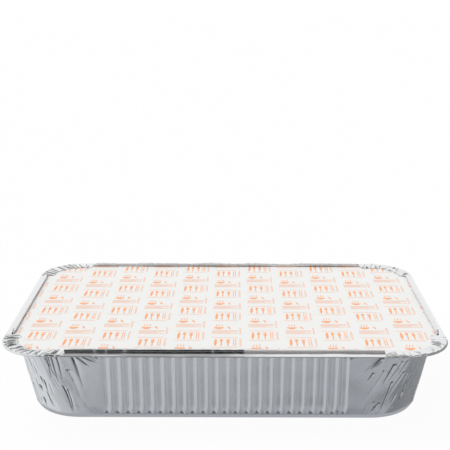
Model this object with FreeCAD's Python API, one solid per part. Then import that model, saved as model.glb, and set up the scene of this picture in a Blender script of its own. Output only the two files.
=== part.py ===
"""Foil food container whose board lid is held under its folded rim.

One STEP file is written to parts/ for each piece. Sizes are millimetres. The origin is the
middle of the base's underside, +Z is up and +X runs along the container.
"""
import FreeCAD
import Part

import math
import os

# Foil and overall size
FOIL = 0.1  # thickness of the pressed sheet
RIM_LENGTH = 320.0
RIM_WIDTH = 216.0
RIM_CORNER_RADIUS = 33.0
FLANGE_WIDTH = 11.8  # from the wall's top to the outer fold
FLANGE_HEIGHT = 54.8  # underside of the flange above the table

# Walls and base
WALL_TAPER = 6.2  # how far the wall leans in from its top to its foot
BASE_CORNER_RADIUS = 37.5
BEVEL_WIDTH = 3.0  # sloped band between the base and the wall
BEVEL_HEIGHT = 4.0

# Grooves pressed into the straight walls
GROOVE_PITCH = 7.7
GROOVE_MARGIN = 18.0  # plain wall between the last groove and the corner
GROOVE_MOUTH = 6.8
GROOVE_FLOOR = 2.6
GROOVE_DEPTH = 0.9
GROOVE_FOOT_GAP = 2.5  # from the bevel to where a groove is full depth
GROOVE_HEAD_GAP = 4.0  # from the flange to where a groove is full depth

# Creases where the foil gathers in the wall's corners
CREASES_PER_CORNER = 7
CREASE_DEPTH = 0.8

# Lid
BOARD = 0.6  # thickness of the lid's board
LID_EDGE_GAP = 0.8  # between the board's edge and the outer fold
FOLD_CLEARANCE = 0.15  # between the board and the lip folded over it

# Lip folded over the lid, with a rolled bead along its free edge
LIP_WIDTH = 7.0  # outer fold to the inner side of the bead
BEAD_RADIUS = 1.3
BEAD_TURN = 290.0  # degrees of roll
BEAD_STEPS = 8
FOLD_STEPS = 4  # flats round the outer fold
BEAD_END_GAP = 12.0  # from the corner's arc to where the bead ends
BEAD_END_RUN = 1.5  # length over which the bead is crushed flat

# Pleats where the lip is crushed down round a corner
CORNER_LIP_WIDTH = 10.0
CRUSHED_RADIUS = 0.35  # half the height of the crushed roll
PLEATS_PER_CORNER = 9
PLEAT_LIFT = 1.4

# Printed pattern on the lid
INK = 0.05
PRINT_PITCH = 27.0
PRINT_EDGE_GAP = 1.5  # bare board between the print and the board's edge
BOWL_WIDTH = 13.0
BOWL_HEIGHT = 6.5
LEAF_LENGTH = 14.0
LEAF_WIDTH = 6.0
BAND_LENGTH = 19.0
BAND_WIDTH = 4.0
BAND_DROP = 8.0  # from a motif's middle to the pale band under it

# Corners in the order that a row passes them: sign of x, sign of y, start of the arc in degrees
CORNERS = ((1, 1, 0), (-1, 1, 90), (-1, -1, 180), (1, -1, 270))

fold_radius = (BOARD + FOLD_CLEARANCE + FOIL) / 2  # of the foil's middle, at the outer fold
fold_centre = fold_radius + FOIL / 2  # inset of the outer fold's centre
flange_middle = FLANGE_HEIGHT + FOIL / 2
lip_middle = flange_middle + 2 * fold_radius
lid_bottom = FLANGE_HEIGHT + FOIL
lid_top = lid_bottom + BOARD
wall_foot_inset = FLANGE_WIDTH + WALL_TAPER
wall_foot = BEVEL_HEIGHT + FOIL / 2
base_inset = wall_foot_inset + BEVEL_WIDTH


def straight_half(corner, inset=0.0, radius=RIM_CORNER_RADIUS):
    """Half the straight length of the side that follows a corner."""
    full = RIM_LENGTH if corner % 2 == 0 else RIM_WIDTH
    return full / 2 - inset - radius


def groove_middles(corner):
    """Places of the grooves along the side that follows a corner, from its middle."""
    room = straight_half(corner, wall_foot_inset, BASE_CORNER_RADIUS) - GROOVE_MARGIN
    count = max(0, math.floor(2 * room / GROOVE_PITCH)) + 1
    return [(i - (count - 1) / 2) * GROOVE_PITCH for i in range(count)]


def offset_path(path, distance):
    """A path of (inset, z) points moved to its left by a distance, with mitred corners."""
    moved = []
    for i, (x, z) in enumerate(path):
        before = path[max(i - 1, 0)]
        after = path[min(i + 1, len(path) - 1)]
        normals = []
        for (ax, az), (bx, bz) in ((before, (x, z)), ((x, z), after)):
            length = math.hypot(bx - ax, bz - az)
            if length > 0:
                normals.append(((az - bz) / length, (bx - ax) / length))
        nx = sum(n[0] for n in normals) / len(normals)
        nz = sum(n[1] for n in normals) / len(normals)
        scale = distance / (nx * nx + nz * nz)
        moved.append((x + nx * scale, z + nz * scale))
    return moved


def corner_point(corner, share, inset, radius, z):
    """A point on a corner's arc, at a share of its quarter turn."""
    sx, sy, start = CORNERS[corner]
    a = math.radians(start + 90 * share)
    return FreeCAD.Vector(
        sx * (RIM_LENGTH / 2 - inset - radius) + radius * math.cos(a),
        sy * (RIM_WIDTH / 2 - inset - radius) + radius * math.sin(a),
        z)


def side_point(corner, along, inset, z):
    """A point on the side that follows a corner, at a distance along it from its middle."""
    across = (RIM_WIDTH if corner % 2 == 0 else RIM_LENGTH) / 2 - inset
    turn = math.radians(90 * (corner + 1))
    return FreeCAD.Vector(
        across * math.cos(turn) - along * math.sin(turn),
        across * math.sin(turn) + along * math.cos(turn),
        z)


def closed_row(corner_stations, side_stations):
    """A row of (place, point) pairs once round the container.

    corner_stations(corner) gives (share, point) pairs, and side_stations(corner) gives
    (along, point) pairs of the straight side that follows the corner.
    """
    row = []
    for corner in range(len(CORNERS)):
        row += [(2 * corner + share, point) for share, point in corner_stations(corner)]
        full = 2 * straight_half(corner)
        row += [(2 * corner + 1.5 + along / full, point)
                for along, point in side_stations(corner)]
    return row


def wall_share(z):
    """How far up the wall a height lies, from 0 at its foot to 1 at the flange."""
    return min(1.0, max(0.0, (z - wall_foot) / (flange_middle - wall_foot)))


def crease_depth(corner, index, z):
    """How far the wall is drawn in at a corner station, most near the top and none at its ends."""
    if index % 2 == 0:
        return 0.0
    uneven = 0.65 + 0.35 * math.sin(2.3 * index + 1.1 * corner)
    return CREASE_DEPTH * uneven * math.sin(math.pi * wall_share(z) ** 1.5)


def wall_path():
    """The foil's middle from the base's edge up to the outer end of the flange, as (inset, z)."""
    low = wall_foot + GROOVE_FOOT_GAP
    high = flange_middle - GROOVE_HEAD_GAP
    path = [(base_inset + BEVEL_WIDTH, FOIL / 2), (base_inset, FOIL / 2)]
    for z in (wall_foot, low, (2 * low + high) / 3, (low + 2 * high) / 3, high, flange_middle):
        path.append((wall_foot_inset - WALL_TAPER * wall_share(z), z))
    return path + [(fold_centre, flange_middle)]


def wall_row(corner_radius, inset, z, formed):
    """One row of the wall. A formed row has full-depth grooves and corner creases."""
    steps = 2 * CREASES_PER_CORNER
    profile = [(-GROOVE_MOUTH / 2, 0.0), (GROOVE_MOUTH / 2, 0.0)]
    if formed:
        floor = [(-GROOVE_FLOOR / 2, GROOVE_DEPTH), (GROOVE_FLOOR / 2, GROOVE_DEPTH)]
        profile[1:1] = floor

    def corner_stations(corner):
        for i in range(steps + 1):
            drawn = crease_depth(corner, i, z) if formed else 0.0
            point = corner_point(corner, i / steps, inset + drawn, corner_radius - drawn, z)
            yield i / steps, point

    def side_stations(corner):
        for middle in groove_middles(corner):
            for step, depth in profile:
                along = middle + step
                yield along, side_point(corner, along, inset + depth, z)

    return closed_row(corner_stations, side_stations)


def wall_rows(skin):
    """Rows of one skin from the base's edge to the wall's top, offset from the foil's middle."""
    middle = wall_path()
    moved = offset_path(middle, skin)
    top_radius = RIM_CORNER_RADIUS - FLANGE_WIDTH
    rows = []
    for k in range(1, len(middle) - 1):
        inset, z = moved[k]
        at_base = middle[k][0] == base_inset
        spread = wall_share(middle[k][1])
        radius = BASE_CORNER_RADIUS + spread * (top_radius - BASE_CORNER_RADIUS)
        radius -= inset - middle[k][0]
        if at_base:
            radius -= BEVEL_WIDTH
        formed = 0.0 < spread < 1.0
        rows.append(wall_row(radius, inset, z, formed))
    return rows


def lip_path(width, roll_radius, lift=0.0):
    """The foil's middle round the outer fold, along the lip and round its roll, as (inset, z)."""
    path = [(FLANGE_WIDTH, flange_middle)]
    for i in range(FOLD_STEPS + 1):
        a = math.radians(-90 - 180 * i / FOLD_STEPS)
        path.append((fold_centre + fold_radius * math.cos(a),
                     flange_middle + fold_radius * (1 + math.sin(a))))
    for i in range(BEAD_STEPS + 1):
        a = math.radians(-90 + BEAD_TURN * i / BEAD_STEPS)
        path.append((width - BEAD_RADIUS + BEAD_RADIUS * math.cos(a),
                     lip_middle + lift + roll_radius * (1 + math.sin(a))))
    return path


def pleat_lift(corner, index):
    """How high the crushed lip stands at a corner station: nothing between two pleats."""
    if index % 2 == 0:
        return 0.0
    return PLEAT_LIFT * (0.6 + 0.4 * math.sin(1.7 * index + 2.1 * corner))


def lip_rows(skin):
    """Rows of one skin round the outer fold, along the lip and round its bead."""
    bead = offset_path(lip_path(LIP_WIDTH, BEAD_RADIUS), skin)
    crushed = offset_path(lip_path(CORNER_LIP_WIDTH, CRUSHED_RADIUS), skin)
    steps = 2 * PLEATS_PER_CORNER
    pleats = {}
    for corner in range(len(CORNERS)):
        for i in range(steps + 1):
            path = lip_path(CORNER_LIP_WIDTH, CRUSHED_RADIUS, pleat_lift(corner, i))
            pleats[corner, i] = offset_path(path, skin)

    def row(k):

        def corner_stations(corner):
            for i in range(steps + 1):
                inset, z = pleats[corner, i][k]
                yield i / steps, corner_point(corner, i / steps, inset, RIM_CORNER_RADIUS - inset, z)

        def side_stations(corner):
            end = straight_half(corner) - BEAD_END_GAP
            crushed_end = end + BEAD_END_RUN
            for along, path in ((-crushed_end, crushed), (-end, bead), (end, bead),
                                (crushed_end, crushed)):
                inset, z = path[k]
                yield along, side_point(corner, along, inset, z)

        return closed_row(corner_stations, side_stations)

    return [row(k) for k in range(1, len(bead))]


class SheetMesh:
    """Triangles of a closed sheet, gathered row by row."""

    def __init__(self):
        self.points = []
        self.triangles = []

    def add_row(self, row):
        """Adds a row's points and returns (place, index) pairs."""
        first = len(self.points)
        self.points += [point for _, point in row]
        return [(place, first + i) for i, (place, _) in enumerate(row)]

    def zip_rows(self, low, high, flip):
        """Fills the band between two closed rows, whose stations may differ in number."""
        turn = 2.0 * len(CORNERS)
        low = low + [(low[0][0] + turn, low[0][1])]
        high = high + [(high[0][0] + turn, high[0][1])]
        i = j = 0
        while i + 1 < len(low) or j + 1 < len(high):
            step_low = j + 1 == len(high) or (i + 1 < len(low) and low[i + 1][0] <= high[j + 1][0])
            third = low[i + 1][1] if step_low else high[j + 1][1]
            self.add_triangle(low[i][1], third, high[j][1], flip)
            i, j = (i + 1, j) if step_low else (i, j + 1)

    def cap(self, row, z, flip):
        """Fills a flat row from its middle."""
        middle = len(self.points)
        self.points.append(FreeCAD.Vector(0, 0, z))
        for (_, a), (_, b) in zip(row, row[1:] + row[:1]):
            self.add_triangle(a, middle, b, flip)

    def add_triangle(self, a, b, c, flip):
        """Adds one triangle, turned over if flip is set."""
        self.triangles.append((a, c, b) if flip else (a, b, c))

    def solid(self):
        """The closed sheet as one solid, with flat neighbours merged."""
        shape = Part.Shape()
        shape.makeShapeFromMesh((self.points, self.triangles), FOIL / 100)
        solid = Part.makeSolid(shape)
        if solid.Volume < 0:
            solid.reverse()
        return solid.removeSplitter()


def foil_tray():
    """The whole pressed foil: base, grooved walls, flange, folded lip and bead."""
    mesh = SheetMesh()
    free_edges = []
    for skin, flip in ((FOIL / 2, False), (-FOIL / 2, True)):
        rows = [mesh.add_row(row) for row in wall_rows(skin) + lip_rows(skin)]
        for low, high in zip(rows, rows[1:]):
            mesh.zip_rows(low, high, flip)
        mesh.cap(rows[0], mesh.points[rows[0][0][1]].z, flip)
        free_edges.append(rows[-1])
    mesh.zip_rows(free_edges[0], free_edges[1], False)
    return mesh.solid()


def rounded_plate(inset, radius, z, thickness):
    """A flat plate with the rim's outline drawn in by an inset."""
    half_x, half_y = RIM_LENGTH / 2 - inset, RIM_WIDTH / 2 - inset
    plate = Part.makeBox(2 * half_x, 2 * half_y, thickness, FreeCAD.Vector(-half_x, -half_y, z))
    upright = [e for e in plate.Edges if abs(e.tangentAt(e.FirstParameter).z) > 0.5]
    return plate.makeFillet(radius, upright)


def board_lid():
    """The lid's board, lying on the flange inside the outer fold."""
    return rounded_plate(LID_EDGE_GAP, RIM_CORNER_RADIUS - LID_EDGE_GAP, lid_bottom, BOARD)


def outline_prism(points):
    """A patch of ink on the lid with a polygon's outline."""
    corners = [FreeCAD.Vector(x, y, lid_top) for x, y in points]
    face = Part.Face(Part.makePolygon(corners + corners[:1]))
    return face.extrude(FreeCAD.Vector(0, 0, INK))


def bowl(x, y):
    """A bowl seen from the side."""
    w, h = BOWL_WIDTH / 2, BOWL_HEIGHT
    return outline_prism([(x - w, y + h / 2), (x - 0.8 * w, y - 0.1 * h), (x - 0.4 * w, y - h / 2),
                          (x + 0.4 * w, y - h / 2), (x + 0.8 * w, y - 0.1 * h), (x + w, y + h / 2)])


def leaf(x, y):
    """A pointed leaf, standing upright."""
    l, w = LEAF_LENGTH / 2, LEAF_WIDTH / 2
    return outline_prism([(x, y - l), (x + w, y - 0.3 * l), (x + w, y + 0.3 * l),
                          (x, y + l), (x - w, y + 0.3 * l), (x - w, y - 0.3 * l)])


def band(x, y):
    """A pale band under a motif."""
    l, w = BAND_LENGTH / 2, BAND_WIDTH / 2
    return outline_prism([(x - l, y - w), (x + l, y - w), (x + l, y + w), (x - l, y + w)])


def motif_places():
    """Middles of the printed motifs, every second column dropped by half a pitch."""
    columns = math.ceil(RIM_LENGTH / 2 / PRINT_PITCH)
    rows = math.ceil(RIM_WIDTH / 2 / PRINT_PITCH)
    for i in range(-columns, columns + 1):
        drop = PRINT_PITCH / 2 if i % 2 else 0.0
        for j in range(-rows, rows + 1):
            yield i, j, i * PRINT_PITCH, j * PRINT_PITCH - drop


def trimmed(patches):
    """The patches of ink, cut off where they pass the printed area."""
    inset = LID_EDGE_GAP + PRINT_EDGE_GAP
    area = rounded_plate(inset, RIM_CORNER_RADIUS - inset, lid_top, INK)
    kept = []
    for patch in patches:
        inside = patch.common(area)
        kept += [s for s in inside.Solids if s.Volume > INK]
    return Part.makeCompound(kept)


def lid_print_motifs():
    """The orange bowls and leaves."""
    return trimmed([(leaf if (i + j) % 2 else bowl)(x, y) for i, j, x, y in motif_places()])


def lid_print_bands():
    """The pale orange bands."""
    return trimmed([band(x, y - BAND_DROP) for _, _, x, y in motif_places()])


def main():
    """Builds every piece and writes its file."""
    os.makedirs("parts", exist_ok=True)
    pieces = {
        "foil_tray": foil_tray(),
        "board_lid": board_lid(),
        "lid_print_motifs": lid_print_motifs(),
        "lid_print_bands": lid_print_bands(),
    }
    for name, shape in pieces.items():
        shape.exportStep(f"parts/{name}.step")
        print(f"{name}: {len(shape.Solids)} solids, {len(shape.Faces)} faces, "
              f"{shape.Volume:.0f} mm3, valid {shape.isValid()}")


main()
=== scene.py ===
"""Dresses the foil food container for its picture.

The pressed foil is a pan and a rim. The pan is the base, the grooved walls and the flange, with
its four corner walls drawn from finer blanks of their own. The rim is the outer fold, the lip
with its rolled beads and the crushed corners. The lid's board stays as the frame has it, and the
print on it is modelled as thin ink. Lengths are metres, in the frame's axes, but for the ends of
creases, which are millimetres.
"""
import contextlib
import logging
import math
import random
from collections.abc import Callable, Iterator, Sequence
from dataclasses import dataclass, field
from enum import Enum

import bpy
import numpy as np
from mathutils import Euler, Matrix, Vector, noise


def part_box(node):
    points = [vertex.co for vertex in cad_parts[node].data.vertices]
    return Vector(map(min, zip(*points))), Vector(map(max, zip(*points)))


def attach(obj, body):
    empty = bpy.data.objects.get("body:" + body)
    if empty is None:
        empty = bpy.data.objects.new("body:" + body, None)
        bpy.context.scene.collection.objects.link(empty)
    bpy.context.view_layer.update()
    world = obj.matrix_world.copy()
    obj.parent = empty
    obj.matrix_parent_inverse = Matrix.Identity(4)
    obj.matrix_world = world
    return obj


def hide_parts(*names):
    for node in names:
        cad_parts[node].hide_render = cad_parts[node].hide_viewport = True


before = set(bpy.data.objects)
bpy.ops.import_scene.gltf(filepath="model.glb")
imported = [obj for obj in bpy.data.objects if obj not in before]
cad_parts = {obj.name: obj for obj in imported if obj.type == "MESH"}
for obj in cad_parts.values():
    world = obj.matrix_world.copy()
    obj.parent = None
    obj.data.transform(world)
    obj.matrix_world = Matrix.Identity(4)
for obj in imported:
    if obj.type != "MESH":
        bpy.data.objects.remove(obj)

MM = 0.001
BODY = "root"
IMAGE_WIDTH = 450
# Names the attribute that carries painted shade for the foil's folds and creases.
FOLD_SHADE = "painted_fold_shade"

log = logging.getLogger("foil_container")


def select_nothing() -> None:
    """Deselects every object."""
    for each in bpy.context.selected_objects:
        each.select_set(False)


@contextlib.contextmanager
def editing(piece: bpy.types.Object) -> Iterator[None]:
    """Holds a piece alone in edit mode, with all of it selected.

    Args:
        piece: The mesh object to edit.

    Returns:
        A context in which edit mode operators act on the piece.
    """
    select_nothing()
    piece.select_set(True)
    bpy.context.view_layer.objects.active = piece
    bpy.ops.object.mode_set(mode="EDIT")
    bpy.ops.mesh.select_all(action="SELECT")
    try:
        yield
    finally:
        bpy.ops.object.mode_set(mode="OBJECT")


@contextlib.contextmanager
def editing_selection(piece: bpy.types.Object) -> Iterator[None]:
    """Holds a piece alone in vertex edit mode, with the selection that its vertices have.

    Args:
        piece: The mesh object to edit.

    Returns:
        A context in which edit mode operators act on the selected vertices.
    """
    select_nothing()
    piece.select_set(True)
    bpy.context.view_layer.objects.active = piece
    chosen = [vertex.index for vertex in piece.data.vertices if vertex.select]
    bpy.ops.object.mode_set(mode="EDIT")
    bpy.ops.mesh.select_mode(type="VERT")
    bpy.ops.mesh.select_all(action="DESELECT")
    bpy.ops.object.mode_set(mode="OBJECT")
    for index in chosen:
        piece.data.vertices[index].select = True
    bpy.ops.object.mode_set(mode="EDIT")
    try:
        yield
    finally:
        bpy.ops.object.mode_set(mode="OBJECT")


def apply_modifier(piece: bpy.types.Object, kind: str, **settings: object) -> None:
    """Adds a modifier to a piece and applies it.

    Args:
        piece: The object to change.
        kind: The modifier's type.
        settings: The modifier's properties.
    """
    select_nothing()
    piece.select_set(True)
    bpy.context.view_layer.objects.active = piece
    modifier = piece.modifiers.new(kind.lower(), kind)
    for name, value in settings.items():
        setattr(modifier, name, value)
    bpy.ops.object.modifier_apply(modifier=modifier.name)


def joined(name: str, pieces: Sequence[bpy.types.Object]) -> bpy.types.Object:
    """Joins pieces into the first one and names it.

    Args:
        name: The name of the result.
        pieces: The mesh objects to join.

    Returns:
        The joined object.
    """
    select_nothing()
    for piece in pieces:
        piece.select_set(True)
    bpy.context.view_layer.objects.active = pieces[0]
    bpy.ops.object.join()
    pieces[0].name = name
    pieces[0].data.name = name
    return pieces[0]


def shade_smooth(piece: bpy.types.Object, degrees: float) -> None:
    """Shades a piece smooth, with its edges sharper than an angle kept sharp."""
    select_nothing()
    piece.select_set(True)
    bpy.context.view_layer.objects.active = piece
    bpy.ops.object.shade_smooth_by_angle(angle=math.radians(degrees))


def rough_noise(points: np.ndarray) -> np.ndarray:
    """Smooth random values from about -1 to 1.

    Args:
        points: Places in the noise's own space, one row each.

    Returns:
        One value for each place.
    """
    return np.array([noise.noise(Vector(p)) for p in points])


def folded_noise(points: np.ndarray) -> np.ndarray:
    """Random values with sharp valleys at zero, as crumpled foil has, from 0 to about 1."""
    return np.minimum(1.0, 1.8 * np.abs(rough_noise(points)))


@dataclass(frozen=True)
class FoilSizes:
    """Sizes of the pressed foil, to the middle of the sheet."""

    length: float
    width: float
    flange: float
    foil: float = 0.1 * MM
    corner_radius: float = 33 * MM
    flange_width: float = 11.8 * MM
    wall_taper: float = 6.2 * MM
    foot_radius: float = 37.5 * MM
    bevel_width: float = 3 * MM
    bevel_height: float = 4 * MM
    fold_radius: float = 0.425 * MM
    bead_radius: float = 1.3 * MM
    bead_gaps: tuple[tuple[float, float], ...] = (
        (9 * MM, 9 * MM), (2 * MM, 9 * MM), (16 * MM, 16 * MM), (9 * MM, 2 * MM))

    @classmethod
    def from_frame(cls) -> "FoilSizes":
        """Reads the outer sizes from the frame."""
        low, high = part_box("foil_tray")
        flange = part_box("board_lid")[0][2] - cls.foil / 2
        return cls(high[0] - low[0], high[1] - low[1], flange)

    @property
    def fold_centre(self) -> float:
        """Inset of the outer fold's centre."""
        return self.fold_radius + self.foil / 2

    @property
    def wall_foot(self) -> float:
        """Height of the wall's foot, at the top of the bevel."""
        return self.bevel_height + self.foil / 2

    @property
    def lip(self) -> float:
        """Height of the lip over the lid."""
        return self.flange + 2 * self.fold_radius

    def wall_share(self, z: np.ndarray) -> np.ndarray:
        """How far up the wall heights lie, from 0 at its foot to 1 at the flange."""
        return np.clip((z - self.wall_foot) / (self.flange - self.wall_foot), 0.0, 1.0)


@dataclass(frozen=True)
class Outline:
    """The rounded rectangle that the rim and every row inside it follow.

    Corners are numbered 0 to 3 from +X +Y, against the clock from above. A side has the number
    of the corner that it follows.
    """

    sizes: FoilSizes

    def straight_half(self, corner: np.ndarray, inset: np.ndarray, radius: np.ndarray) -> np.ndarray:
        """Half the straight length of sides, between arcs of a radius at an inset."""
        half = np.where(np.mod(corner, 2) == 0, self.sizes.length, self.sizes.width) / 2
        return half - inset - radius

    def on_corner(self, corner: np.ndarray, share: np.ndarray, inset: np.ndarray,
                  radius: np.ndarray) -> tuple[np.ndarray, np.ndarray]:
        """Points on corner arcs.

        Args:
            corner: Corner numbers.
            share: Places along the quarter turn, from 0 to 1.
            inset: Distances in from the rim.
            radius: Radii of the arcs.

        Returns:
            The points in plan, and the outward directions there.
        """
        turn = (corner + share) * math.pi / 2
        normal = np.stack([np.cos(turn), np.sin(turn)], -1)
        middle = (corner + 0.5) * math.pi / 2
        signs = np.sign(np.stack([np.cos(middle), np.sin(middle)], -1))
        half = np.array([self.sizes.length, self.sizes.width]) / 2
        centre = signs * (half - (inset + radius)[..., None])
        return centre + normal * radius[..., None], normal

    def on_side(self, corner: np.ndarray, along: np.ndarray,
                inset: np.ndarray) -> tuple[np.ndarray, np.ndarray]:
        """Points on straight sides.

        Args:
            corner: Numbers of the corners that the sides follow.
            along: Distances along the sides from their middles.
            inset: Distances in from the rim.

        Returns:
            The points in plan, and the outward directions there.
        """
        turn = (corner + 1) * math.pi / 2
        normal = np.stack([np.cos(turn), np.sin(turn)], -1)
        tangent = np.stack([-np.sin(turn), np.cos(turn)], -1)
        half = np.where(np.mod(corner, 2) == 0, self.sizes.width, self.sizes.length) / 2
        return normal * (half - inset)[..., None] + tangent * along[..., None], normal


Form = Callable[[np.ndarray, np.ndarray], np.ndarray]


def grid_places(piece: bpy.types.Object, columns: int, rows: int) -> tuple[np.ndarray, np.ndarray]:
    """The column and row numbers of a flat grid's vertices.

    Args:
        piece: The grid as it was added.
        columns: Number of spaces along it.
        rows: Number of spaces across it.

    Returns:
        The column numbers and the row numbers.
    """
    flat = np.empty(3 * len(piece.data.vertices))
    piece.data.vertices.foreach_get("co", flat)
    flat = flat.reshape(-1, 3)
    column = np.rint((flat[:, 0] + 0.5) * columns).astype(int)
    row = np.rint((flat[:, 1] + 0.5) * rows).astype(int)
    return column, row


def drawn_sheet(name: str, columns: int, rows: int, form: Form,
                window: Form | None = None) -> bpy.types.Object:
    """Draws a flat grid over a form, as a press draws a flat blank of foil.

    Args:
        name: The name of the new piece.
        columns: Number of spaces along the grid.
        rows: Number of spaces across the grid.
        form: Gives the point for each column and row number, and the painted shade of the fold there.
        window: Says which columns and rows lie in parts that are left out of the sheet.

    Returns:
        The new piece, one face thick.
    """
    select_nothing()
    bpy.ops.mesh.primitive_grid_add(x_subdivisions=columns, y_subdivisions=rows, size=1.0)
    piece = bpy.context.object
    piece.name = name
    piece.data.name = name
    if window:
        piece.data.vertices.foreach_set("select", window(*grid_places(piece, columns, rows)))
        with editing_selection(piece):
            bpy.ops.mesh.delete(type="FACE")
    drawn = form(*grid_places(piece, columns, rows))
    piece.data.vertices.foreach_set("co", drawn[:, :3].ravel())
    # Stores the painted shade of the folds on each point.
    painted_shade = piece.data.attributes.new(FOLD_SHADE, "FLOAT", "POINT")
    painted_shade.data.foreach_set("value", np.clip(drawn[:, 3], 0, 1))
    piece.data.update()
    return piece


@dataclass(frozen=True)
class Crease:
    """A sharp valley pressed into the unrolled wall of a corner.

    Its ends are places (s, z) in millimetres: s runs round the corner from its middle and z is
    the height. One flank is steep and the other gentle, as where foil is pushed over itself. It
    starts sharply at its head, bows a little and fades along its tail.
    """

    start: tuple[float, float]
    end: tuple[float, float]
    depth: float = 0.6 * MM
    steep: float = 0.8 * MM
    gentle: float = 2.2 * MM
    # Width of the painted shade line along the crease's bottom.
    line: float = 0.3 * MM
    bow: float = 0.012
    head: float = 1.5 * MM
    # Crease depth at which its painted shade line is darkest.
    full_shade_depth: float = 0.45 * MM

    def across(self, s: np.ndarray, z: np.ndarray) -> tuple[np.ndarray, np.ndarray]:
        """Distances across the crease at places on the wall.

        Args:
            s: Places round the corner.
            z: Heights.

        Returns:
            The distances, above zero on the steep flank, and how much of the depth the ends
            leave, from 0 to 1.
        """
        x0, z0 = self.start[0] * MM, self.start[1] * MM
        dx, dz = self.end[0] * MM - x0, self.end[1] * MM - z0
        length = math.hypot(dx, dz)
        along = ((s - x0) * dx + (z - z0) * dz) / length
        bow = self.bow * length * np.sin(math.pi * np.clip(along / length, 0, 1) * 1.7)
        across = ((s - x0) * dz - (z - z0) * dx) / length + bow
        head, tail = min(self.head, 0.3 * length), 0.6 * length
        ends = np.clip(along / head, 0, 1) * np.clip((length - along) / tail, 0, 1)
        return across, ends

    def relief(self, s: np.ndarray, z: np.ndarray) -> np.ndarray:
        """Depth of the valley at places on the wall."""
        across, ends = self.across(s, z)
        valley = np.where(across > 0, 1 - across / self.steep, 1 + across / self.gentle)
        return self.depth * ends * np.clip(valley, 0, 1)

    def shade(self, s: np.ndarray, z: np.ndarray) -> np.ndarray:
        """Painted shade along the bottom of the valley, from 0 to about 1."""
        across, ends = self.across(s, z)
        deep = min(1.0, self.depth / self.full_shade_depth)
        return np.exp(-(across / self.line) ** 2) * ends ** 0.5 * deep


def handling_creases(corner: int, count: int) -> tuple[Crease, ...]:
    """Short creases that handling left in a corner, leaning more the farther out they lie.

    The ranges below are millimetres, round the corner and up the wall.

    Args:
        corner: The corner's number, which also seeds the choice.
        count: How many creases there are.

    Returns:
        The creases.
    """
    chance = random.Random(41 + corner)
    creases = []
    for _ in range(count):
        s = chance.triangular(-36, 36, 0)
        z = chance.uniform(10, 51)
        drop = chance.uniform(4, 17)
        lean = 0.04 + 0.25 * max(0.0, abs(s) - 18) / 20 + chance.uniform(-0.05, 0.1)
        end = (s + math.copysign(lean * drop, s), max(4.5, z - drop))
        size = chance.uniform(0.15, 1.0) ** 1.5
        creases.append(Crease((s, z), end, size * 0.6 * MM, 0.4 * MM, (0.7 + 1.6 * size) * MM,
                              (0.16 + 0.14 * size) * MM))
    return tuple(creases)


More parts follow.
